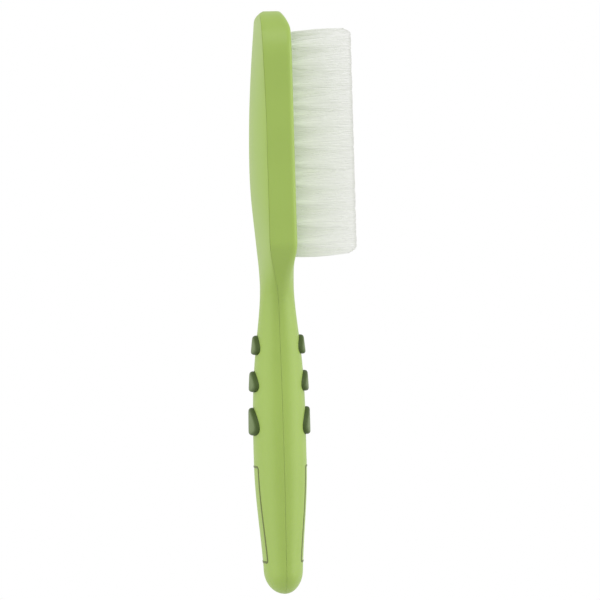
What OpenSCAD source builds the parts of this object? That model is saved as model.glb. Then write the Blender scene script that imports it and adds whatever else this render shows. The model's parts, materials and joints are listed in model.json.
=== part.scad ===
/* [Overall] */
// whole length, handle end to head end
overall_l = 152; // [132:1:186]
// length of the head, shoulders included
head_l = 74; // [64:1:86]
// width of the head
head_w = 38; // [34:1:46]
// thickness of the head from bristle face to crown
head_t = 10.5; // [9.9:0.1:12.6]
// rounding of the head's plan corners
head_corner = 13.5; // [9:0.5:16]

/* [Handle] */
// widest part of the handle
grip_w = 21.4; // [18:0.2:26]
// thickest part of the handle
grip_t = 13.8; // [12:0.2:17]
// width of the neck
neck_w = 13.4; // [11.5:0.2:16]
// thickness of the neck
neck_t = 8.8; // [7.6:0.2:10.6]
// wall thickness of both shells
wall_t = 2.4; // [2.1:0.1:2.8]
// radius of the moulded edge around the bristle face
edge_r = 1.4; // [0.8:0.1:1.6]

/* [Bristles] */
// free length of the bristles above the face
bristle_l = 15.7; // [10:0.1:22]
// diameter of a tuft hole
tuft_d = 2.1; // [1.7:0.05:2.5]
// depth of a tuft hole
tuft_depth = 4.8; // [4:0.1:5]
// thickness of the flat wire anchor
anchor_t = 0.4; // [0.3:0.05:0.5]
// height of the flat wire anchor
anchor_h = 1.7; // [1.3:0.1:2]

/* [Grip pads] */
// length of the largest grip pad
pad_l = 7.1; // [6:0.1:8.5]
// width of the largest grip pad
pad_w = 12.4; // [10:0.1:13.4]
// how far a pad stands out of the handle
pad_proud = 1.2; // [0.8:0.1:1.5]
// how deep a pad is let into the handle
pad_sunk = 0.8; // [0.5:0.1:1]

/* [Label frames] */
// width of the inlaid line
line_w = 0.5; // [0.4:0.05:0.8]
// how far the line stands out of the handle
line_proud = 0.12; // [0.05:0.01:0.2]

/* [Hidden] */
rows = 12;
columns = 7;
eps = 0.01;
far = 60;

// places along the brush, measured from the handle end
end_r = 6;
grip_s = 0.23 * overall_l;
neck_s = overall_l - head_l + 3;
shoulder_s = overall_l - head_l - 2;
full_s = overall_l - head_l + 14;
crown_s = overall_l - 0.56 * head_l;

// heights, the bristle face at 0
axis_z = -0.448 * head_t;
seam_handle = -0.42 * head_t;
crease_z = -0.675 * head_t;
crease_drop = 0.5;
crown_drop = 2.9;
face_fall = 2.2;
fall_l = 5.5;
back_rise = 1.4;
rise_l = 1.6;
seam_lift = 0.2;
end_w = 0.77 * grip_w;
end_t = 0.72 * grip_t;

// tuft field
field_l = head_l - 18;
field_s = overall_l - 6.8 - field_l;
row_pitch = field_l / (rows - 1);
col_pitch = (head_w - 13.5) / (columns - 1);
tip_d = min(row_pitch, sqrt(pow(row_pitch / 2, 2) + pow(col_pitch, 2))) - 0.3;
fold_t = 0.45;

function clamp01(t) = max(0, min(1, t));
function ease(t) = (1 - cos(180 * clamp01(t))) / 2;
function mix(a, b, t) = a + (b - a) * t;
function headness(s) = ease((s - shoulder_s) / (full_s - shoulder_s));
function round_end(s) = s < end_r ? sqrt(max(0, 1 - pow(1 - s / end_r, 2))) : 1;

// half width in plan
function corner_w(d) = head_w / 2 - head_corner + sqrt(max(0, 2 * head_corner * d - d * d));
function handle_w(s) =
  s < grip_s
    ? mix(end_w, grip_w, ease(s / grip_s)) / 2
    : mix(grip_w, neck_w, ease(pow(clamp01((s - grip_s) / (neck_s - grip_s)), 1.3))) / 2;
function half_w(s) =
  s > overall_l - head_corner
    ? corner_w(overall_l - s)
    : mix(handle_w(s), head_w / 2, headness(s));

// half thickness of the handle
function handle_t(s) =
  s < grip_s
    ? mix(end_t, grip_t, ease(s / grip_s)) / 2
    : mix(grip_t, neck_t, ease(pow(clamp01((s - grip_s) / (neck_s - grip_s)), 1.8))) / 2;
function axis(s) = mix(axis_z, axis_z + 0.4, ease((s - grip_s) / (neck_s - grip_s)));

// side profile: face line, crease line, back line
function face_z(s) =
  s < neck_s
    ? axis(s) + handle_t(s)
    : mix(axis(neck_s) + neck_t / 2, 0, ease((s - neck_s) / 20)) - tip_fall(s);
function tip_fall(s) = face_fall * pow(clamp01(1 - (overall_l - s) / fall_l), 1.5);
function tip_rise(s) = back_rise * pow(clamp01(1 - (overall_l - s) / rise_l), 2);
function crown_z(s) =
  s < crown_s
    ? mix(axis(s) - handle_t(s), -head_t, ease((s - neck_s) / (crown_s - neck_s)))
    : -head_t + crown_drop * pow((s - crown_s) / (overall_l - crown_s), 2) + tip_rise(s);
function back_z(s) = s < neck_s ? axis(s) - handle_t(s) : crown_z(s);
function drop(s) = crease_drop * ease((s - overall_l + 32) / 32);
function mid_z(s) = mix(seam_handle, crease_z, headness(s)) - drop(s) + tip_rise(s);
function end_mix(z, s) = mix(mid_z(s), z, round_end(s));

// one ring of the skin: the face half, then the back half
face_n = 20;
back_n = 16;
ring_n = face_n + back_n;
function box_y(w, r, i) =
  i == 0 ? w : i == 1 ? w : i == 2 ? w - 0.134 * r : i == 3 ? w - 0.5 * r
  : (w - r) * (face_n / 2 - i) / (face_n / 2 - 4);
function box_z(t, r, i) = i == 0 ? 0 : i == 1 ? t - r : i == 2 ? t - 0.5 * r : i == 3 ? t - 0.134 * r : t;
function face_y(w, h, i) =
  i > face_n / 2
    ? -face_y(w, h, face_n - i)
    : mix(w * cos(180 * i / face_n), box_y(w, edge_r, i), h);
function face_h(t, h, i) =
  i > face_n / 2 ? face_h(t, h, face_n - i) : mix(t * sin(180 * i / face_n), box_z(t, edge_r, i), h);
function back_h(t, h, a) = t * mix(sin(a), sin(a) * sin(a), h);
function ring(s, inset) =
  let (
    h = headness(s),
    w = half_w(s) * round_end(s) - inset,
    m = mid_z(s),
    f = max(0.3, (face_z(s) - m) * round_end(s) - inset),
    b = max(0.3, (m - back_z(s)) * round_end(s) - inset)
  )
  concat(
    [for (i = [0:face_n - 1]) [s, face_y(w, h, i), m + face_h(f, h, i)]],
    [for (i = [0:back_n - 1]) [s, -w * cos(180 * i / back_n), m - back_h(b, h, 180 * i / back_n)]]
  );

// rings crowd together towards both ends
function spread(s0, s1, n) = [for (k = [0:n]) mix(s0, s1, ease(k / n))];
module skin(stations, inset) {
  n = len(stations);
  points = [for (s = stations) each ring(s, inset)];
  walls = [
    for (k = [0:n - 2], i = [0:ring_n - 1])
      let (j = (i + 1) % ring_n, a = k * ring_n, b = a + ring_n)
      each [[a + i, b + i, b + j], [a + i, b + j, a + j]]
  ];
  first = [[for (i = [0:ring_n - 1]) i]];
  last = [[for (i = [ring_n - 1:-1:0]) (n - 1) * ring_n + i]];
  polyhedron(points, concat(first, walls, last));
}
outer_s = concat(
  [0.05, 0.35, 1, 2.1, 3.6, 5.5],
  [for (k = [0:5]) mix(end_r, grip_s, k / 5)],
  [for (k = [1:8]) mix(grip_s, shoulder_s, k / 8)],
  [for (k = [1:8]) mix(shoulder_s, full_s, k / 8)],
  [for (k = [1:6]) mix(full_s, overall_l - head_corner, k / 6)],
  [for (k = [1:9]) overall_l - head_corner + (head_corner - 0.02) * sin(90 * k / 9)]
);

// everything below the parting line, or above it
seam_s = concat(
  [-5, shoulder_s - 1, shoulder_s + 5, full_s - 5, full_s + 1, overall_l - 30, overall_l - 16],
  [overall_l - rise_l, overall_l - rise_l / 2, overall_l, overall_l + 5]
);
module seam_side(up) {
  line = [for (s = seam_s) [s, mid_z(s) + seam_lift]];
  edge = up ? far : -far;
  rotate([90, 0, 0])
    linear_extrude(2 * far, center = true)
      polygon(concat([[-5, edge]], line, [[overall_l + 5, edge]]));
}

// locating pins: [distance along, across, low end, high end]
pin_r = 1.3;
boss_r = 2.7;
pins_handle = [[0.085 * overall_l, 0], [grip_s + 3, 0], [grip_s + 36, 0]];
pins_head = [[full_s + 5, 0.415 * head_w], [overall_l - 19, 0.415 * head_w]];
pin_up = 2.6;
pin_head_up = 1.6;
module pins() {
  for (p = pins_handle)
    translate([p[0], 0, back_z(p[0]) + wall_t - 0.6])
      cylinder(r = pin_r, h = mid_z(p[0]) + pin_up - back_z(p[0]) - wall_t + 0.6, $fn = 32);
  for (p = pins_head, side = [-1, 1])
    translate([p[0], side * p[1], crease_z - 1])
      cylinder(r = pin_r, h = 1 + seam_lift + pin_head_up, $fn = 32);
}
module sockets() {
  for (p = pins_handle)
    translate([p[0], 0, seam_handle - 1])
      cylinder(r = pin_r, h = 1 + pin_up, $fn = 32);
  for (p = pins_head, side = [-1, 1])
    translate([p[0], side * p[1], crease_z - 1])
      cylinder(r = pin_r, h = 1 + seam_lift + pin_head_up, $fn = 32);
}
module bosses() {
  for (p = pins_handle)
    translate([p[0], 0, -far])
      cylinder(r = boss_r, h = 2 * far, $fn = 32);
}
module cavity(s0, s1) {
  difference() {
    skin(spread(s0, s1, 22), wall_t);
    bosses();
  }
}

// grip pads: one row of three on each side, growing towards the end
pad_s = [grip_s + 30.3, grip_s + 20.8, grip_s + 10.4];
pad_size = [0.7, 0.75, 1];
pad_reach = [0.69, 0.84, 0.96];
pad_taper = 0.22;
stem_r = 1.4;
flange_r = 2.6;
flange_t = 0.9;
function pad_z(k, side) = side > 0 ? face_z(pad_s[k]) : back_z(pad_s[k]);
function pad_tilt(k, side) =
  side > 0
    ? -atan((face_z(pad_s[k] + 3) - face_z(pad_s[k] - 3)) / 6)
    : -atan((back_z(pad_s[k] + 3) - back_z(pad_s[k] - 3)) / 6);
function pad_curve(k) = 0.92 * pow(half_w(pad_s[k]), 2) / handle_t(pad_s[k]);
function drop_y(a, k) = pad_w / 2 * pad_reach[k] * sin(a) * (1 - pad_taper * cos(a));
function drop_x(a, k) = pad_size[k] * pad_l / 2 * (-cos(a) * (1 + 0.16 * sin(a)) + 0.12 * sin(a) * sin(a));
module pad_outline(k) {
  polygon([
    for (a = [0:12:348])
      [-drop_x(a, k) - 0.5 * pad_size[k] * pow(sin(a), 2), drop_y(a, k)]
  ]);
}
module at_pad(k, side) {
  translate([pad_s[k], 0, pad_z(k, side)])
    rotate([0, pad_tilt(k, side), 0])
      mirror([0, 0, side > 0 ? 0 : 1])
        children();
}
module pad_barrel(k, up) {
  r = pad_curve(k);
  translate([0, 0, -r])
    rotate([0, 90, 0])
      cylinder(r = r + up, h = 40, center = true, $fn = 96);
}
module pad_prism(k) {
  translate([0, 0, -8])
    linear_extrude(12)
      pad_outline(k);
}
module pad_pocket(k, side) {
  at_pad(k, side) {
    difference() {
      pad_prism(k);
      pad_barrel(k, -pad_sunk);
    }
    translate([0, 0, -wall_t - 3])
      cylinder(r = stem_r, h = wall_t + 3, $fn = 32);
    translate([0, 0, -wall_t - 3.2])
      cylinder(r = flange_r, h = 3, $fn = 32);
  }
}
module grip_pad(k, side) {
  color([0.16, 0.26, 0.1])
    at_pad(k, side) {
      difference() {
        intersection() {
          pad_prism(k);
          pad_barrel(k, pad_proud);
        }
        pad_barrel(k, -pad_sunk);
      }
      translate([0, 0, -wall_t - 0.2 - flange_t + eps])
        cylinder(r = stem_r, h = wall_t + flange_t - pad_sunk + 0.3, $fn = 32);
      translate([0, 0, -wall_t - 0.2 - flange_t])
        cylinder(r = flange_r, h = flange_t, $fn = 32);
    }
}

// label frames: a thin inlaid line on both sides of the handle
frame_s0 = 0.055 * overall_l;
frame_s1 = 0.222 * overall_l;
frame_w0 = 0.235 * grip_w;
frame_w1 = 0.235 * grip_w;
frame_r = 1;
function frame_arc(s, y, r, a0) = [for (a = [a0:22.5:a0 + 90]) [s + r * cos(a), y + r * sin(a)]];
module frame_plan(grow) {
  r = frame_r + grow;
  polygon(concat(
    frame_arc(frame_s1 - frame_r, frame_w1 - frame_r, r, 0),
    frame_arc(frame_s0 + frame_r, frame_w0 - frame_r, r, 90),
    frame_arc(frame_s0 + frame_r, -frame_w0 + frame_r, r, 180),
    frame_arc(frame_s1 - frame_r, -frame_w1 + frame_r, r, 270)
  ));
}
frame_deep = 1.75;
function frame_z(s, side) = side > 0 ? face_z(s) : back_z(s);
module frame_band(side) {
  rise = (frame_z(frame_s1, side) - frame_z(frame_s0, side)) / (frame_s1 - frame_s0);
  translate([frame_s0, 0, frame_z(frame_s0, side)])
    rotate([0, -atan(rise), 0])
      mirror([0, 0, side > 0 ? 0 : 1])
        translate([-frame_s0, 0, -frame_deep])
          linear_extrude(8)
            difference() {
              frame_plan(0);
              frame_plan(-line_w);
            }
}
module label_frame(side) {
  color([0.16, 0.3, 0.08])
    intersection() {
      frame_band(side);
      skin([for (k = [0:9]) mix(frame_s0 - 3, frame_s1 + 3, k / 9)], -line_proud);
    }
}

// shells
module front_shell() {
  color([0.6, 0.77, 0.28])
    difference() {
      intersection() {
        skin(outer_s, 0);
        seam_side(true);
      }
      cavity(wall_t + 0.2, shoulder_s - 1);
      sockets();
      for (k = [0:2])
        pad_pocket(k, 1);
      frame_band(1);
      for (r = [0:rows - 1])
        tuft_holes(r);
    }
}
module rear_shell() {
  color([0.6, 0.77, 0.28]) {
    difference() {
      intersection() {
        skin(outer_s, 0);
        seam_side(false);
      }
      cavity(wall_t + 0.2, overall_l - wall_t - 0.8);
      for (k = [0:2])
        pad_pocket(k, -1);
      frame_band(-1);
    }
    pins();
  }
}

// tufts: [distance along, across] for every hole of a row
// every other column stands half a pitch further on and has one tuft fewer
function tuft_at(r) = [
  for (j = [0:columns - 1])
    let (step = j % 2 == 0 ? 0.5 : 0)
    if (step == 0 || r < rows - 1)
      [field_s + (r + step) * row_pitch, (j - (columns - 1) / 2) * col_pitch]
];
module tuft_holes(r) {
  for (p = tuft_at(r))
    translate([p[0], p[1], -tuft_depth])
      cylinder(d = tuft_d, h = tuft_depth + 2, $fn = 24);
}
module anchor_bar(p, l) {
  translate([p[0] - anchor_t / 2, p[1] - l / 2, -tuft_depth + fold_t])
    cube([anchor_t, l, anchor_h]);
}
module tuft_row(r) {
  color([0.93, 0.94, 0.9])
    for (p = tuft_at(r))
      difference() {
        translate([p[0], p[1], -tuft_depth]) {
          cylinder(d = tuft_d, h = tuft_depth, $fn = 24);
          translate([0, 0, tuft_depth])
            cylinder(d1 = tuft_d, d2 = tip_d, h = bristle_l, $fn = 24);
        }
        anchor_bar(p, 2 * tuft_d);
      }
}
module anchor_row(r) {
  color([0.7, 0.7, 0.72])
    for (p = tuft_at(r))
      intersection() {
        anchor_bar(p, 2 * tuft_d);
        translate([p[0], p[1], -tuft_depth])
          cylinder(d = tuft_d, h = tuft_depth, $fn = 24);
      }
}

// the brush lies on its crown and on the lowest grip pad, bristles up
rest_s = pad_s[2];
rest_z = pad_z(2, -1) - pad_proud;
slopes = [for (s = [full_s:1:overall_l]) (crown_z(s) - rest_z) / (s - rest_s)];
lie_angle = atan(min(slopes));
lift = rest_s * sin(lie_angle) - rest_z * cos(lie_angle);
shift = -(overall_l * cos(lie_angle) + (axis_z - 0.5 + face_z(overall_l)) * sin(lie_angle)) / 2;
module laid() {
  translate([shift, 0, lift])
    rotate([0, lie_angle, 0])
      children();
}

function two(n) = n < 10 ? str("0", n) : str(n);

laid() front_shell();
laid() rear_shell();
for (r = [0:rows - 1]) {
  laid() tuft_row(r);
  laid() anchor_row(r);
}
for (k = [0:2]) {
  laid() grip_pad(k, 1);
  laid() grip_pad(k, -1);
}
laid() label_frame(1);  // frame_front
laid() label_frame(-1);  // frame_back
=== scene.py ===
import json
import math
import random

import bmesh
import bpy
from mathutils import Matrix, Vector

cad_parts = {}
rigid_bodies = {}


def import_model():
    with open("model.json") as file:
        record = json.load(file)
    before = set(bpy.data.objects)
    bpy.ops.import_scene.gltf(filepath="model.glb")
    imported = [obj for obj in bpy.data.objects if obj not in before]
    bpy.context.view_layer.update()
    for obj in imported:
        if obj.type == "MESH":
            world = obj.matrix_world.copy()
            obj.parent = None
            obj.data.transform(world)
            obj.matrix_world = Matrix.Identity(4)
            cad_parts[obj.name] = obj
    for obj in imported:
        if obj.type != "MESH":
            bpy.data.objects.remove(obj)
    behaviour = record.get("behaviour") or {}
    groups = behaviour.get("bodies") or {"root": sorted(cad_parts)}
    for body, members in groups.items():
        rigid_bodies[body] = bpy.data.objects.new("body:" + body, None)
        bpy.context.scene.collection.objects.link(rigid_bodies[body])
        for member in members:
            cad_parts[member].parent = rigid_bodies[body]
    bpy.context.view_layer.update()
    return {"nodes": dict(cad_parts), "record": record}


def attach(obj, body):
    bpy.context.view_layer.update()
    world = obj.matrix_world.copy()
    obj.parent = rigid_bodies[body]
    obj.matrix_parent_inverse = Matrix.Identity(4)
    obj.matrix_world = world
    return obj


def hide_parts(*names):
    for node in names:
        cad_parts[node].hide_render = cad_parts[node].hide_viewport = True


for spare in list(bpy.data.objects):
    bpy.data.objects.remove(spare)
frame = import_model()
print("frame loaded")

mm = 0.001
tau = 2 * math.pi

# sizes of the moulding in millimetres, measured along the brush from its handle end
brush = dict(
    length=152.0,
    headLength=74.0,
    headWidth=38.0,
    headThick=10.5,
    headCorner=13.5,
    gripWidth=21.4,
    gripThick=13.8,
    neckWidth=13.4,
    neckThick=8.8,
    endWidthShare=0.77,  # the handle's end against its grip
    endThickShare=0.72,
    endRound=6.0,
    widthEase=1.3,       # over 1 the grip narrows late towards the neck
    thickEase=1.8,
    axisRise=0.4,        # the handle's axis climbs this much from grip to neck
    faceBlend=20.0,      # length over which the neck's top runs into the bristle face
    faceEdge=1.4,        # radius round the bristle face
    faceFall=2.2,        # the face falls and the back rises at the head's tip
    fallLength=5.5,
    backRise=1.4,
    riseLength=1.6,
    domeRise=2.9,        # the back climbs this much from its crown to the tip
    leastBack=0.4,       # the back is never thinner than this
    creaseShape=1.66,    # 2 is a hard crease, less is rounder
    seamDrop=0.5,        # the parting line sinks this much over the head's last stretch
    seamDropLength=32.0,
)

# places along the brush and heights against the bristle face
gripS = 0.23 * brush["length"]                            # thickest part of the handle
neckS = brush["length"] - brush["headLength"] + 3         # thinnest part of the neck
shoulderS = brush["length"] - brush["headLength"] - 2     # the head's outline begins
fullS = brush["length"] - brush["headLength"] + 14        # the head has its full section
crownS = brush["length"] - 0.56 * brush["headLength"]     # deepest part of the dome
axisZ = -0.448 * brush["headThick"]
seamZ = -0.42 * brush["headThick"]
creaseZ = -0.675 * brush["headThick"]


def clamp01(t):
    return max(0.0, min(1.0, t))


def ease(t):
    return (1 - math.cos(math.pi * clamp01(t))) / 2


def mix(a, b, t):
    return a + (b - a) * t


def headness(s):
    return ease((s - shoulderS) / (fullS - shoulderS))


def roundEnd(s):
    r = brush["endRound"]
    return math.sqrt(max(0.0, 1 - (1 - s / r) ** 2)) if s < r else 1.0


def handleSize(s, end, grip, neck, power):
    if s < gripS:
        return mix(end, grip, ease(s / gripS)) / 2
    along = clamp01((s - gripS) / (neckS - gripS))
    return mix(grip, neck, ease(along ** power)) / 2


def halfWidth(s):
    fromEnd = brush["length"] - s
    corner = brush["headCorner"]
    if fromEnd < corner:
        reach = math.sqrt(max(0.0, 2 * corner * fromEnd - fromEnd * fromEnd))
        return brush["headWidth"] / 2 - corner + reach
    grip = brush["gripWidth"]
    handle = handleSize(s, brush["endWidthShare"] * grip, grip, brush["neckWidth"], brush["widthEase"])
    return mix(handle, brush["headWidth"] / 2, headness(s))


def handleHalf(s):
    grip = brush["gripThick"]
    return handleSize(s, brush["endThickShare"] * grip, grip, brush["neckThick"], brush["thickEase"])


def axisAt(s):
    return mix(axisZ, axisZ + brush["axisRise"], ease((s - gripS) / (neckS - gripS)))


def tipFall(s):
    return brush["faceFall"] * clamp01(1 - (brush["length"] - s) / brush["fallLength"]) ** 1.5


def tipRise(s):
    return brush["backRise"] * clamp01(1 - (brush["length"] - s) / brush["riseLength"]) ** 2


def faceZ(s):
    if s < neckS:
        return axisAt(s) + handleHalf(s)
    blend = ease((s - neckS) / brush["faceBlend"])
    return mix(axisAt(neckS) + brush["neckThick"] / 2, 0, blend) - tipFall(s)


def backZ(s):
    if s < neckS:
        return axisAt(s) - handleHalf(s)
    if s < crownS:
        return mix(axisAt(s) - handleHalf(s), -brush["headThick"], ease((s - neckS) / (crownS - neckS)))
    past = (s - crownS) / (brush["length"] - crownS)
    return -brush["headThick"] + brush["domeRise"] * past * past + tipRise(s)


def midZ(s):
    # height of the parting line
    stretch = brush["seamDropLength"]
    drop = brush["seamDrop"] * ease((s - brush["length"] + stretch) / stretch)
    return mix(seamZ, creaseZ, headness(s)) - drop + tipRise(s)


def facePoint(s, i):
    # i runs 0 to 20 from one parting line to the other: up the wall to 1, round the edge to 4,
    # and over the face, whose middle is at 10
    if i > 10:
        y, z = facePoint(s, 20 - i)
        return -y, z
    h, w, m = headness(s), halfWidth(s) * roundEnd(s), midZ(s)
    t = (faceZ(s) - m) * roundEnd(s)
    r = min(brush["faceEdge"], t)
    if i <= 1:
        boxY, boxZ = w, (t - r) * i
    elif i <= 4:
        turn = math.radians((i - 1) * 30)
        boxY, boxZ = w - r * (1 - math.cos(turn)), t - r + r * math.sin(turn)
    else:
        boxY, boxZ = (w - r) * (10 - i) / 6, t
    a = math.radians(9 * i)
    return mix(w * math.cos(a), boxY, h), m + mix(t * math.sin(a), boxZ, h)


def backPoint(s, i):
    # i runs as above, over the back
    h, w, m = headness(s), halfWidth(s) * roundEnd(s), midZ(s)
    b = max(brush["leastBack"], m - backZ(s)) * roundEnd(s)
    a = math.radians(9 * i)
    up = max(0.0, math.sin(a))
    return w * math.cos(a), m - b * mix(up, up ** brush["creaseShape"], h)


def surfaceZ(s, y, side):
    # height of the handle's skin over a point of its plan
    w, m = halfWidth(s) * roundEnd(s), midZ(s)
    t = (faceZ(s) - m if side > 0 else m - backZ(s)) * roundEnd(s)
    return m + side * t * math.sqrt(max(0.0, 1 - (y / max(w, 0.01)) ** 2))


# the brush lies at the angle of its bristle-tip mount, with its grip at the grip mount
mounts = {m["name"]: m for m in frame["record"]["mounts"]}
tipAxis = mounts["bristle_tips"]["axis"]
gripPos = mounts["hand_grip"]["pos_m"]
lieAngle = math.atan2(tipAxis[0], tipAxis[2])
layDown = Matrix.Rotation(lieAngle, 4, "Y") @ Matrix.Diagonal((mm, mm, mm, 1))
layDown = Matrix.Translation(Vector(gripPos) - layDown @ Vector((gripS, 0, axisAt(gripS)))) @ layDown


def finishPiece(bm, name, material, nodes, sharp=35):
    # turns the modelled mesh into a piece, laid down where its CAD nodes are
    bmesh.ops.transform(bm, matrix=layDown, verts=bm.verts)
    mesh = bpy.data.meshes.new(name)
    bm.to_mesh(mesh)
    bm.free()
    mesh.shade_smooth()
    mesh.set_sharp_from_angle(angle=math.radians(sharp))
    mesh.materials.append(material)
    piece = bpy.data.objects.new(name, mesh)
    bpy.context.scene.collection.objects.link(piece)
    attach(piece, "root")
    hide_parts(*nodes)
    return piece


# materials


def newGroup(name, inputs, outputs):
    group = bpy.data.node_groups.new(name, "ShaderNodeTree")
    for label, kind, value in inputs:
        socket = group.interface.new_socket(name=label, in_out="INPUT", socket_type=kind)
        socket.default_value = value
    for label, kind in outputs:
        group.interface.new_socket(name=label, in_out="OUTPUT", socket_type=kind)
    return group


def addNode(tree, kind, **settings):
    node = tree.nodes.new(kind)
    for key, value in settings.items():
        if key in node.inputs:
            node.inputs[key].default_value = value
        else:
            setattr(node, key, value)
    return node


def buildGrainGroup():
    # fine moulded grain with slow unevenness in tone and gloss
    group = newGroup(
        "mouldedGrain",
        [("Color", "NodeSocketColor", (0.5, 0.5, 0.5, 1)), ("Roughness", "NodeSocketFloat", 0.4),
         ("Tone Variation", "NodeSocketFloat", 0.06), ("Gloss Variation", "NodeSocketFloat", 0.05),
         ("Grain Size", "NodeSocketFloat", 2600.0)],
        [("Color", "NodeSocketColor"), ("Roughness", "NodeSocketFloat"), ("Height", "NodeSocketFloat")],
    )
    links = group.links.new
    gin = group.nodes.new("NodeGroupInput")
    gout = group.nodes.new("NodeGroupOutput")
    place = group.nodes.new("ShaderNodeTexCoord")
    slow = addNode(group, "ShaderNodeTexNoise", Scale=70.0, Detail=3.0, Roughness=0.5)
    links(place.outputs["Object"], slow.inputs["Vector"])
    fine = addNode(group, "ShaderNodeTexNoise", Detail=2.0, Roughness=0.6)
    links(place.outputs["Object"], fine.inputs["Vector"])
    links(gin.outputs["Grain Size"], fine.inputs["Scale"])
    centred = addNode(group, "ShaderNodeMath", operation="SUBTRACT")
    centred.inputs[1].default_value = 0.5
    links(slow.outputs["Fac"], centred.inputs[0])
    tone = addNode(group, "ShaderNodeMath", operation="MULTIPLY_ADD")
    tone.inputs[2].default_value = 1.0
    links(centred.outputs[0], tone.inputs[0])
    links(gin.outputs["Tone Variation"], tone.inputs[1])
    shade = addNode(group, "ShaderNodeVectorMath", operation="SCALE")
    links(gin.outputs["Color"], shade.inputs[0])
    links(tone.outputs[0], shade.inputs["Scale"])
    links(shade.outputs[0], gout.inputs["Color"])
    gloss = addNode(group, "ShaderNodeMath", operation="MULTIPLY_ADD")
    links(centred.outputs[0], gloss.inputs[0])
    links(gin.outputs["Gloss Variation"], gloss.inputs[1])
    links(gin.outputs["Roughness"], gloss.inputs[2])
    links(gloss.outputs[0], gout.inputs["Roughness"])
    links(fine.outputs["Fac"], gout.inputs["Height"])
    return group


grainGroup = buildGrainGroup()
grainDepth = 0.00005


def grainMaterial(name, look):
    # look: colour, roughness, their unevenness, grain size and bump, then plain shader values
    material = bpy.data.materials.new(name)
    material.use_nodes = True
    tree = material.node_tree
    shader = tree.nodes["Principled BSDF"]
    grain = addNode(tree, "ShaderNodeGroup")
    grain.node_tree = grainGroup
    grain.inputs["Color"].default_value = (*look["color"], 1)
    grain.inputs["Roughness"].default_value = look["roughness"]
    grain.inputs["Tone Variation"].default_value = look["tone"]
    grain.inputs["Gloss Variation"].default_value = look["gloss"]
    grain.inputs["Grain Size"].default_value = look["grain"]
    bump = addNode(tree, "ShaderNodeBump", Strength=look["bump"], Distance=grainDepth)
    tree.links.new(grain.outputs["Color"], shader.inputs["Base Color"])
    tree.links.new(grain.outputs["Roughness"], shader.inputs["Roughness"])
    tree.links.new(grain.outputs["Height"], bump.inputs["Height"])
    tree.links.new(bump.outputs["Normal"], shader.inputs["Normal"])
    for socket, value in look.get("shader", {}).items():
        shader.inputs[socket].default_value = value
    return material, tree, shader, grain


limeLook = dict(
    color=(0.304, 0.427, 0.093), roughness=0.4, tone=0.10, gloss=0.10, grain=2200.0, bump=0.12,
    shader={"Specular IOR Level": 0.24, "Subsurface Weight": 0.12, "Subsurface Scale": 0.002,
            "Subsurface Radius": (0.8, 1.0, 0.3)},
)
limePlastic = grainMaterial("limePlastic", limeLook)[0]

# the rim colour is painted shade on the pads' side walls and rounded edges
rubberLook = dict(
    color=(0.13, 0.185, 0.062), roughness=0.55, tone=0.2, gloss=0.12, grain=3400.0, bump=0.3,
    rim=(0.042, 0.075, 0.006), shader={"Specular IOR Level": 0.4},
)


def rubberMaterial(name, look):
    # the grain's colour turns into the darker rim colour, painted shade, where the rim layer says
    material, tree, shader, grain = grainMaterial(name, look)
    rim = addNode(tree, "ShaderNodeAttribute", attribute_name="rim")
    blend = addNode(tree, "ShaderNodeMix", data_type="RGBA")
    colours = [s for s in blend.inputs if s.type == "RGBA"]
    colours[1].default_value = (*look["rim"], 1)
    tree.links.new(rim.outputs["Fac"], blend.inputs[0])
    tree.links.new(grain.outputs["Color"], colours[0])
    result = [s for s in blend.outputs if s.type == "RGBA"][0]
    tree.links.new(result, shader.inputs["Base Color"])
    return material


gripRubber = rubberMaterial("gripRubber", rubberLook)

inlayLook = dict(
    color=(0.11, 0.14, 0.026), roughness=0.45, tone=0.1, gloss=0.08, grain=3400.0, bump=0.15,
    shader={"Specular IOR Level": 0.4},
)
inlayRubber = grainMaterial("inlayRubber", inlayLook)[0]

wireLook = dict(
    color=(0.62, 0.62, 0.64), roughness=0.35, tone=0.1, gloss=0.15, grain=5000.0, bump=0.2,
    shader={"Metallic": 1.0},
)
anchorWire = grainMaterial("anchorWire", wireLook)[0]

# the darker, greener root colour is painted shade and a painted green reflection of the plastic; the colour
# lightens towards the tip and darkens again at the cut end
nylonLook = dict(
    root=(0.68, 0.73, 0.655), middle=(0.755, 0.775, 0.72), middleAt=0.3, tip=(0.81, 0.81, 0.795), tipAt=0.95,
    cut=(0.68, 0.68, 0.655), roughness=0.45, ior=1.53,
)


def nylonMaterial(name, look):
    # the colour runs from a darker, greener root (painted shade and painted green reflection) to the cut end,
    # and each filament has its own random tint, with painted highlight and painted shade added at the tuft
    # roots
    material = bpy.data.materials.new(name)
    material.use_nodes = True
    tree = material.node_tree
    shader = tree.nodes["Principled BSDF"]
    along = addNode(tree, "ShaderNodeAttribute", attribute_name="along")
    tintAndPaintedLight = addNode(tree, "ShaderNodeAttribute", attribute_name="tintAndPaintedLight")
    ramp = addNode(tree, "ShaderNodeValToRGB")
    ramp.color_ramp.elements[0].color = (*look["root"], 1)
    ramp.color_ramp.elements[1].color = (*look["cut"], 1)
    for part in ("middle", "tip"):
        ramp.color_ramp.elements.new(look[part + "At"]).color = (*look[part], 1)
    shade = addNode(tree, "ShaderNodeVectorMath", operation="SCALE")
    tree.links.new(along.outputs["Fac"], ramp.inputs["Fac"])
    tree.links.new(ramp.outputs["Color"], shade.inputs[0])
    tree.links.new(tintAndPaintedLight.outputs["Fac"], shade.inputs["Scale"])
    tree.links.new(shade.outputs[0], shader.inputs["Base Color"])
    shader.inputs["Roughness"].default_value = look["roughness"]
    shader.inputs["IOR"].default_value = look["ior"]
    return material


bristleNylon = nylonMaterial("bristleNylon", nylonLook)
print("materials ready")


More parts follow.
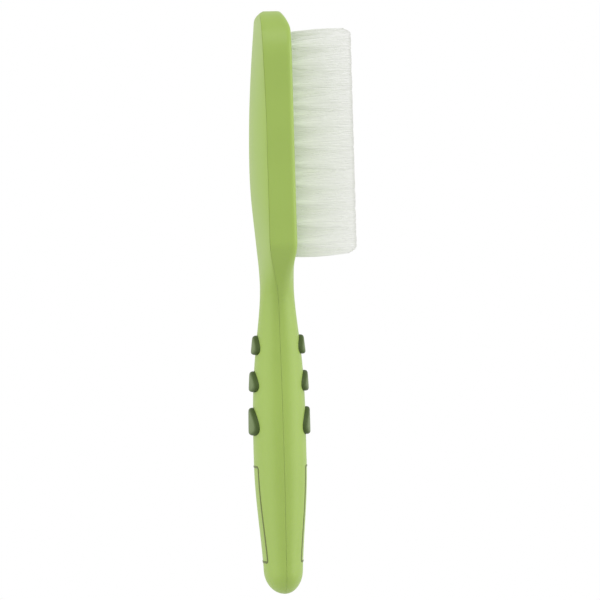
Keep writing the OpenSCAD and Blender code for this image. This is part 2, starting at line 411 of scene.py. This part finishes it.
# shells: each half is one closed skin, parted along the crease and the handle's sides
shell = dict(
    seamWidth=0.08,
    seamDepth=0.06,
    seamGap=0.01,
    lipSteps=1.5,     # the wall starts this many seam widths up
    fadeWidth=4.0,    # the parting line fades out where the section is smaller than this
    fadeDepth=1.5,
    floorColumns=5,
    roundedRings=14,  # sections in each stretch
    handleRings=62,
    shoulderRings=34,
    headRings=26,
    cornerRings=30,
    capInset=0.25,
    capProud=0.06,
    merge=0.0004,
    weld=0.004,       # joins slivers that the pockets leave
)


def spreadStations():
    length, corner = brush["length"], brush["headCorner"]
    quarter = math.pi / 2
    rings = shell["roundedRings"]
    stations = [brush["endRound"] * (1 - math.cos(quarter * k / rings)) for k in range(rings + 1)]
    for start, end, rings in ((brush["endRound"], shoulderS, shell["handleRings"]),
                              (shoulderS, fullS, shell["shoulderRings"]),
                              (fullS, length - corner, shell["headRings"])):
        stations += [mix(start, end, k / rings) for k in range(1, rings + 1)]
    rings = shell["cornerRings"]
    return stations + [length - corner + corner * math.sin(quarter * k / rings) for k in range(1, rings + 1)]


def arcSteps(side):
    # places round the ring, closer together at the parting line and round the edge
    if side > 0:
        wall = [k / 4 for k in range(4)]
        edge = [1 + 3 * k / 10 for k in range(10)]
        face = [4 + 6 * k / 16 for k in range(16)]
        half = wall + edge + face
    else:
        half = [10 * (k / 30) ** 1.25 for k in range(30)]
    return half + [10] + [20 - i for i in reversed(half)]


def shellMesh(side):
    # a grid is wrapped round the rings, closed by a floor just off the parting line
    stations = spreadStations()
    steps = arcSteps(side)
    point = facePoint if side > 0 else backPoint
    columns = shell["floorColumns"]
    around = len(steps) + columns + 1
    bm = bmesh.new()
    bmesh.ops.create_grid(bm, x_segments=len(stations) - 1, y_segments=around, size=1)
    rings = []
    for s in stations:
        w, m = halfWidth(s) * roundEnd(s), midZ(s)
        deep = abs((faceZ(s) if side > 0 else backZ(s)) - m)
        small = min(1.0, w / shell["fadeWidth"], deep / shell["fadeDepth"])
        lip = shell["seamWidth"] * small
        wallLow = shell["lipSteps"] * lip
        inner = w - shell["seamDepth"] * small
        ring = []
        for i in steps:
            y, z = point(s, i)
            if i in (0, 20):
                z = m + side * lip
            elif abs(z - m) < wallLow:
                z = m + side * wallLow
            ring.append((y, z))
        floorZ = m + side * shell["seamGap"] * small
        ring += [(-inner + 2 * inner * k / columns, floorZ) for k in range(columns + 1)]
        ring.append(ring[0])
        rings.append(ring)
    for v in bm.verts:
        k = round((v.co.x + 1) / 2 * (len(stations) - 1))
        j = round((v.co.y + 1) / 2 * around)
        y, z = rings[k][j]
        v.co = (stations[k], y, z)
    bmesh.ops.remove_doubles(bm, verts=bm.verts, dist=shell["merge"])
    openEnd = [e for e in bm.edges if e.is_boundary]
    cap = bmesh.ops.holes_fill(bm, edges=openEnd)["faces"]
    if side > 0:
        bmesh.ops.inset_region(bm, faces=cap, thickness=shell["capInset"], depth=shell["capProud"])
    bmesh.ops.recalc_face_normals(bm, faces=bm.faces)
    return bm


# grip pads and label frames sit in pockets; their plans are shared by piece and pocket
pads = dict(
    places=[gripS + 30.3, gripS + 20.8, gripS + 10.4],
    sizes=[0.7, 0.75, 1.0],
    reach=[0.69, 0.84, 0.96],
    length=7.1,
    width=12.4,
    taper=0.22,
    lean=0.16,         # how the outline departs from an oval
    flat=0.12,
    bow=0.5,
    proud=1.2,
    gap=0.07,
    points=72,
    pocketDepth=2.6,
    pocketHeight=9,    # the cutter's height, well past the skin
    closing=[0.85, 0.7, 0.55, 0.4, 0.25, 0.1],  # loops that close in on the top's middle
    # inset, height against the top, and how much of the darker rim colour, which is painted shade on the side
    # wall and edge
    section=[(0, -2.0, 1), (0, -0.75, 1), (0.06, -0.48, 1), (0.19, -0.25, 0.95), (0.38, -0.1, 0.7),
             (0.62, -0.02, 0.35), (0.9, 0, 0.1)],
)


def padPlan(k, scaleX=1.0, scaleY=1.0):
    size, reach = pads["sizes"][k], pads["width"] / 2 * pads["reach"][k]
    outline = []
    for n in range(pads["points"]):
        a = tau * n / pads["points"]
        across, along = math.sin(a), math.cos(a)
        x = size * pads["length"] / 2 * (along * (1 + pads["lean"] * across) - pads["flat"] * across ** 2)
        x -= pads["bow"] * size * across ** 2
        y = reach * across * (1 - pads["taper"] * along)
        outline.append((pads["places"][k] + x * scaleX, y * scaleY))
    return outline


def padScale(k, inset):
    # plan scale that draws the outline in by about the given distance
    halfLength, reach = pads["sizes"][k] * pads["length"] / 2, pads["width"] / 2 * pads["reach"][k]
    return 1 - inset / halfLength, 1 - inset / reach


labelFrame = dict(
    start=0.055 * brush["length"],
    end=0.222 * brush["length"],
    halfStart=0.235 * brush["gripWidth"],
    halfEnd=0.235 * brush["gripWidth"],
    corner=1.0,
    turns=12,       # steps round each corner
    step=0.8,       # longest straight step
    line=0.5,
    edge=0.1,
    proud=0.12,
    sunk=0.5,
    gap=0.03,
    pocketHeight=5,
)


def framePlan(grow):
    # rounded outline of the label area
    f = labelFrame
    corner, turns = f["corner"], f["turns"]
    centres = [(f["end"] - corner, f["halfEnd"] - corner), (f["start"] + corner, f["halfStart"] - corner),
               (f["start"] + corner, -f["halfStart"] + corner), (f["end"] - corner, -f["halfEnd"] + corner)]
    outline = []
    for quarter, (cx, cy) in enumerate(centres):
        for k in range(turns + 1):
            a = math.pi / 2 * (quarter + k / turns)
            outline.append((cx + (corner + grow) * math.cos(a), cy + (corner + grow) * math.sin(a)))
    full = []
    for (x0, y0), (x1, y1) in zip(outline, outline[1:] + outline[:1]):
        parts = max(1, int(math.hypot(x1 - x0, y1 - y0) / f["step"]))
        full += [(mix(x0, x1, p / parts), mix(y0, y1, p / parts)) for p in range(parts)]
    return full


def outlineLoop(bm, outline, z):
    verts = bmesh.ops.create_circle(bm, segments=len(outline), radius=1)["verts"]
    for v, (x, y) in zip(verts, outline):
        v.co = (x, y, z)
    return verts


def loopEdges(verts):
    ring = set(verts)
    return list({e for v in verts for e in v.link_edges if e.other_vert(v) in ring})


# tuft field
tufts = dict(
    rows=12,
    columns=7,
    hole=2.1,
    depth=4.8,
    tipMargin=6.8,    # bare face at the head's tip
    endMargins=18.0,  # bare face at both ends together
    sideMargins=13.5,
    holeSides=20,
    cutterOver=4,     # the cutter is this much longer than the hole
)
fieldLength = brush["headLength"] - tufts["endMargins"]
fieldStart = brush["length"] - tufts["tipMargin"] - fieldLength
rowPitch = fieldLength / (tufts["rows"] - 1)
colPitch = (brush["headWidth"] - tufts["sideMargins"]) / (tufts["columns"] - 1)


def tuftPlaces(row):
    # every other column stands half a pitch on, with one tuft fewer
    places = []
    middle = (tufts["columns"] - 1) / 2
    for j in range(tufts["columns"]):
        step = 0.5 if j % 2 == 0 else 0
        if step == 0 or row < tufts["rows"] - 1:
            places.append((fieldStart + (row + step) * rowPitch, (j - middle) * colPitch))
    return places


# pockets that are cut from a shell: pads, frame groove and tuft holes


def raiseFaces(bm, faces, height):
    top = bmesh.ops.extrude_face_region(bm, geom=faces)["geom"]
    verts = [g for g in top if isinstance(g, bmesh.types.BMVert)]
    bmesh.ops.translate(bm, verts=verts, vec=(0, 0, height))


def cutHole(bm, x, y):
    over, radius = tufts["cutterOver"], tufts["hole"] / 2
    place = Matrix.Translation((x, y, over / 2 - tufts["depth"] / 2))
    bmesh.ops.create_cone(bm, cap_ends=True, segments=tufts["holeSides"], radius1=radius, radius2=radius,
                          depth=tufts["depth"] + over, matrix=place)


def pocketMesh(side):
    bm = bmesh.new()
    for k, place in enumerate(pads["places"]):
        low = surfaceZ(place, 0, side) - side * pads["pocketDepth"]
        verts = outlineLoop(bm, padPlan(k, *padScale(k, -pads["gap"])), low)
        base = bmesh.ops.contextual_create(bm, geom=verts + loopEdges(verts))["faces"]
        raiseFaces(bm, base, side * pads["pocketHeight"])
    outer = outlineLoop(bm, framePlan(labelFrame["gap"]), 0)
    inner = outlineLoop(bm, framePlan(-labelFrame["line"] - labelFrame["gap"]), 0)
    for v in outer + inner:
        v.co.z = surfaceZ(v.co.x, v.co.y, side) - side * labelFrame["sunk"]
    band = bmesh.ops.bridge_loops(bm, edges=loopEdges(outer) + loopEdges(inner))["faces"]
    raiseFaces(bm, band, side * labelFrame["pocketHeight"])
    if side > 0:
        for row in range(tufts["rows"]):
            for x, y in tuftPlaces(row):
                cutHole(bm, x, y)
    bmesh.ops.recalc_face_normals(bm, faces=bm.faces)
    return bm


def cutPockets(bm, side):
    # exact boolean of the skin with its pockets, applied
    made = []
    for label, source in (("skin", bm), ("pockets", pocketMesh(side))):
        mesh = bpy.data.meshes.new(label)
        source.to_mesh(mesh)
        source.free()
        made.append(bpy.data.objects.new(label, mesh))
        bpy.context.scene.collection.objects.link(made[-1])
    cut = made[0].modifiers.new("cut", "BOOLEAN")
    cut.operation = "DIFFERENCE"
    cut.solver = "EXACT"
    cut.object = made[1]
    result = bmesh.new()
    result.from_object(made[0], bpy.context.evaluated_depsgraph_get())
    for spare in made:
        bpy.data.objects.remove(spare)
    bmesh.ops.remove_doubles(result, verts=result.verts, dist=shell["weld"])
    bmesh.ops.holes_fill(result, edges=[e for e in result.edges if e.is_boundary])
    return result


for side, name, node in ((1, "frontShell", "front_shell"), (-1, "rearShell", "rear_shell")):
    skin = cutPockets(shellMesh(side), side)
    finishPiece(skin, name, limePlastic, [node])
print("shells ready")


# grip pads


def padMesh(k, side):
    # loops climb the side wall, turn over the rim and close in on the middle
    bm = bmesh.new()
    rim = bm.verts.layers.float.new("rim")
    proud = pads["proud"]
    steps = [(*padScale(k, inset), height, shade) for inset, height, shade in pads["section"]]
    scaleX, scaleY, height, shade = steps[-1]
    steps += [(scaleX * part, scaleY * part, height, 0) for part in pads["closing"]]
    loops = []
    for scaleX, scaleY, height, shade in steps:
        verts = outlineLoop(bm, padPlan(k, scaleX, scaleY), 0)
        for v in verts:
            v.co.z = surfaceZ(v.co.x, v.co.y, side) + side * (proud + height)
            # painted shade: the rim layer darkens the side wall and edge, fading towards the top's middle
            v[rim] = shade
        loops.append(loopEdges(verts))
    for a, b in zip(loops, loops[1:]):
        bmesh.ops.bridge_loops(bm, edges=a + b)
    bmesh.ops.holes_fill(bm, edges=[e for e in bm.edges if e.is_boundary])
    bmesh.ops.recalc_face_normals(bm, faces=bm.faces)
    return bm


for side, word in ((1, "front"), (-1, "back")):
    for k in range(len(pads["places"])):
        label = f"{word}_{k + 1}"
        finishPiece(padMesh(k, side), f"gripPad_{label}", gripRubber, [f"pad_{label}"], 60)
print("grip pads ready")


# label frames


def frameMesh(side):
    # the line's section, as inset and height, swept round the outline
    bm = bmesh.new()
    line, edge, proud, sunk = (labelFrame[key] for key in ("line", "edge", "proud", "sunk"))
    profile = [(0, -sunk), (0, proud * 0.5), (edge, proud),
               (line - edge, proud), (line, proud * 0.5), (line, -sunk)]
    loops = []
    for inset, height in profile:
        verts = outlineLoop(bm, framePlan(-inset), 0)
        for v in verts:
            v.co.z = surfaceZ(v.co.x, v.co.y, side) + side * height
        loops.append(loopEdges(verts))
    for a, b in zip(loops, loops[1:] + loops[:1]):
        bmesh.ops.bridge_loops(bm, edges=a + b)
    bmesh.ops.recalc_face_normals(bm, faces=bm.faces)
    return bm


for side, word in ((1, "front"), (-1, "back")):
    finishPiece(frameMesh(side), f"labelFrame_{word}", inlayRubber, [f"frame_{word}"])
print("label frames ready")


# bristles: one filament, copied into every tuft and bent a little each time
bristles = dict(
    free=15.7,       # length above the face
    perTuft=190,
    radius=0.085,
    sides=3,
    bends=4,
    start=-1.0,      # how far down the hole the modelled part begins
    lean=0.6,        # the whole field leans this much towards the head end
    flare=-0.1,      # how far the outer tufts may spread past the field
    corner=1.5,      # rounding of the trimmed block
    ragged=0.05,
    stray=0.32,
    bow=0.22,
    splay=0.72,      # under 1 the tufts open out early
    squareness=0.35,  # how far a round tuft fills its square share of the block
    pressedBack=0.88,  # the trimmed ends take back this much of what strays past them
    paintedHighlight=0.22,     # painted highlight: how much the heart of each tuft brightens at its root
    streakWidth=0.42,
    paintedShadeShare=0.4,  # painted shade: the rest of the tuft darkens by this share of the painted highlight
    innerPaintedShade=0.3,   # painted shade: the same darkening for tufts that stand behind
    streakFade=1.7,
    tints=(0.97, 1.0),
    thickness=(0.92, 1.08),
    seed=41,
)


def filamentTemplate():
    # a closed thread, one unit high and one in radius
    bm = bmesh.new()
    verts = bmesh.ops.create_circle(bm, segments=bristles["sides"], radius=1)["verts"]
    edges = loopEdges(verts)
    for k in range(1, bristles["bends"] + 1):
        ring = bmesh.ops.extrude_edge_only(bm, edges=edges)["geom"]
        verts = [g for g in ring if isinstance(g, bmesh.types.BMVert)]
        edges = loopEdges(verts)
        for v in verts:
            v.co.z = k / bristles["bends"]
    bmesh.ops.contextual_create(bm, geom=verts + edges)
    bmesh.ops.holes_fill(bm, edges=[e for e in bm.edges if e.is_boundary])
    bmesh.ops.recalc_face_normals(bm, faces=bm.faces)
    mesh = bpy.data.meshes.new("filament")
    bm.to_mesh(mesh)
    bm.free()
    return mesh


def trimHeight(x, low, high):
    # the block is trimmed flat, with rounded ends
    corner = bristles["corner"]
    near = min(x - low, high - x)
    cut = corner - math.sqrt(max(0.0, corner ** 2 - (corner - near) ** 2)) if near < corner else 0
    return bristles["free"] - cut


def rowMesh(row, template, rng):
    # filaments fill each tuft in a sunflower pattern and open out to meet the next tuft
    bm = bmesh.new()
    along = bm.verts.layers.float.new("along")
    tintAndPaintedLight = bm.verts.layers.float.new("tintAndPaintedLight")
    golden = math.pi * (3 - math.sqrt(5))
    count, radius, lean = bristles["perTuft"], bristles["radius"], bristles["lean"]
    low = fieldStart - tufts["hole"] / 2 - bristles["flare"]
    high = fieldStart + fieldLength + tufts["hole"] / 2 + bristles["flare"]
    tiny = 0.001
    made = 0
    rootR = tufts["hole"] / 2 - radius
    for x, y in tuftPlaces(row):
        outer = (x - fieldStart) / rowPitch % 1 > 0.25  # the columns that show at the sides
        for n in range(count):
            r = math.sqrt((n + 0.5) / count)
            a = n * golden
            discX, discY = r * math.cos(a), r * math.sin(a)
            root = Vector((x + rootR * discX, y + rootR * discY, bristles["start"]))
            square = r / max(abs(math.cos(a)), abs(math.sin(a)), tiny)
            blend = mix(1, square / max(r, tiny), bristles["squareness"])
            tipX = x + discX * blend * rowPitch * 0.5 + rng.gauss(0, bristles["stray"])
            tipY = y + discY * blend * colPitch * 0.5 + rng.gauss(0, bristles["stray"])
            tipX -= bristles["pressedBack"] * (tipX - max(low, min(high, tipX)))
            height = trimHeight(max(low, min(high, tipX)), low, high)
            tip = Vector((tipX + lean, tipY, height - abs(rng.gauss(0, bristles["ragged"]))))
            bow = Vector((rng.gauss(0, 1), rng.gauss(0, 1), 0)) * bristles["bow"]
            # painted light: the heart of each outer tuft's root gets a painted highlight, and the rest of it
            # and the tufts behind get painted shade, fading up the filament
            paintedLightAndShade = -bristles["innerPaintedShade"]
            if outer:
                paintedLightAndShade = math.exp(-((discX / bristles["streakWidth"]) ** 2)) - bristles["paintedShadeShare"]
            shade = rng.uniform(*bristles["tints"])
            thick = radius * rng.uniform(*bristles["thickness"])
            bm.from_mesh(template)
            bm.verts.ensure_lookup_table()
            for v in bm.verts[made:]:
                h = v.co.z
                spread = h ** bristles["splay"]
                centre = Vector((mix(root.x, tip.x, spread), mix(root.y, tip.y, spread), mix(root.z, tip.z, h)))
                centre += bow * (4 * h * (1 - h))
                fade = max(0.0, 1 - bristles["streakFade"] * h)
                v[along] = h
                # the tint carries the filament's random tone and the painted highlight and shade
                v[tintAndPaintedLight] = shade * (1 + bristles["paintedHighlight"] * paintedLightAndShade * fade)
                v.co = centre + Vector((v.co.x * thick, v.co.y * thick, 0))
            made = len(bm.verts)
    return bm


template = filamentTemplate()
for row in range(tufts["rows"]):
    bm = rowMesh(row, template, random.Random(bristles["seed"] + row))
    label = f"{row + 1:02d}"
    tuftRow = finishPiece(bm, f"bristleRow_{label}", bristleNylon, [f"tuft_row_{label}"], 70)
    tuftRow.visible_shadow = False  # clear nylon hardly shades its neighbours
    tuftRow.visible_diffuse = False
bpy.data.meshes.remove(template)
print("bristles ready")

# the anchors keep their CAD shape and get a metal finish
for row in range(tufts["rows"]):
    wire = frame["nodes"][f"anchor_row_{row + 1:02d}"]
    for slotted in wire.material_slots:
        slotted.material = anchorWire


# stage
stage = dict(
    floorSize=3.0,
    floor=(0.95, 0.95, 0.945),
    floorRoughness=0.8,
    fadeFrom=0.25,    # the floor fades out between these distances, before its horizon
    fadeTo=0.8,
    world=0.86,
    # name, place, size, power; all point at the brush
    lights=[("overhead", (0.05, 0.12, 0.9), (1.0, 0.8), 4.4),
            ("underFill", (0.0, 0.15, -0.8), (1.0, 0.8), 3.2),
            ("headSoft", (1.5, 0.85, 0.1), (0.9, 0.9), 7.6)],
)


def floorMaterial():
    # seen only from above and only by the camera, so that it blocks neither view nor light from below
    material = bpy.data.materials.new("paleFloor")
    material.use_nodes = True
    tree = material.node_tree
    link = tree.links.new
    shader = tree.nodes["Principled BSDF"]
    output = tree.nodes["Material Output"]
    shader.inputs["Base Color"].default_value = (*stage["floor"], 1)
    shader.inputs["Roughness"].default_value = stage["floorRoughness"]
    path = addNode(tree, "ShaderNodeLightPath")
    geometry = addNode(tree, "ShaderNodeNewGeometry")
    front = addNode(tree, "ShaderNodeMath", operation="SUBTRACT", use_clamp=True)
    link(path.outputs["Is Camera Ray"], front.inputs[0])
    link(geometry.outputs["Backfacing"], front.inputs[1])
    place = addNode(tree, "ShaderNodeTexCoord")
    reach = addNode(tree, "ShaderNodeVectorMath", operation="LENGTH")
    fade = addNode(tree, "ShaderNodeMapRange", interpolation_type="SMOOTHSTEP")
    fade.inputs["From Min"].default_value = stage["fadeFrom"]
    fade.inputs["From Max"].default_value = stage["fadeTo"]
    fade.inputs["To Min"].default_value = 1.0
    fade.inputs["To Max"].default_value = 0.0
    link(place.outputs["Object"], reach.inputs[0])
    link(reach.outputs["Value"], fade.inputs["Value"])
    shown = addNode(tree, "ShaderNodeMath", operation="MULTIPLY")
    link(front.outputs[0], shown.inputs[0])
    link(fade.outputs["Result"], shown.inputs[1])
    clear = addNode(tree, "ShaderNodeBsdfTransparent")
    blend = addNode(tree, "ShaderNodeMixShader")
    link(shown.outputs[0], blend.inputs[0])
    link(clear.outputs[0], blend.inputs[1])
    link(shader.outputs[0], blend.inputs[2])
    link(blend.outputs[0], output.inputs["Surface"])
    return material


def buildFloor():
    bm = bmesh.new()
    bmesh.ops.create_grid(bm, x_segments=1, y_segments=1, size=stage["floorSize"])
    mesh = bpy.data.meshes.new("floor")
    bm.to_mesh(mesh)
    bm.free()
    mesh.materials.append(floorMaterial())
    floor = bpy.data.objects.new("floor", mesh)
    bpy.context.scene.collection.objects.link(floor)


def buildWorld():
    # plain white behind, and a little dimmer as a light
    world = bpy.data.worlds.new("studio")
    bpy.context.scene.world = world
    world.use_nodes = True
    tree = world.node_tree
    background = tree.nodes["Background"]
    background.inputs["Color"].default_value = (1, 1, 1, 1)
    path = addNode(tree, "ShaderNodeLightPath")
    level = addNode(tree, "ShaderNodeMix", data_type="FLOAT")
    level.inputs[2].default_value = stage["world"]
    level.inputs[3].default_value = 1.0
    tree.links.new(path.outputs["Is Camera Ray"], level.inputs[0])
    tree.links.new(level.outputs[0], background.inputs["Strength"])


def areaLight(name, place, size, power):
    data = bpy.data.lights.new(name, "AREA")
    data.shape = "RECTANGLE"
    data.size, data.size_y = size
    data.energy = power
    light = bpy.data.objects.new(name, data)
    light.location = place
    light.rotation_euler = (-Vector(place)).to_track_quat("-Z", "Y").to_euler()
    bpy.context.scene.collection.objects.link(light)


buildFloor()
buildWorld()
for values in stage["lights"]:
    areaLight(*values)
print("stage ready")


# camera looks along -Y with the head end up, a little from the back of the brush
view = dict(
    distance=0.9,
    across=0.1571,   # what the picture takes in at that distance
    sink=4.5,        # degrees below level
    roll=0.2,
    centre=(0.0009, 0.0, 0.0134),
    sensor=36,
    near=0.05,
    far=20,
)


def buildCamera():
    data = bpy.data.cameras.new("camera")
    data.sensor_width = view["sensor"]
    data.lens = view["sensor"] * view["distance"] / view["across"]
    data.clip_start = view["near"]
    data.clip_end = view["far"]
    camera = bpy.data.objects.new("camera", data)
    sink = math.radians(view["sink"])
    forward = Vector((0, -math.cos(sink), math.sin(sink)))
    up = Vector((1, 0, 0))
    right = forward.cross(up)
    turn = Matrix((right, up, -forward)).transposed().to_4x4()
    turn = turn @ Matrix.Rotation(math.radians(view["roll"]), 4, "Z")
    centre = Vector(view["centre"])
    camera.matrix_world = Matrix.Translation(centre - forward * view["distance"]) @ turn
    bpy.context.scene.collection.objects.link(camera)
    bpy.context.scene.camera = camera


buildCamera()
bpy.context.scene.view_settings.view_transform = "Standard"
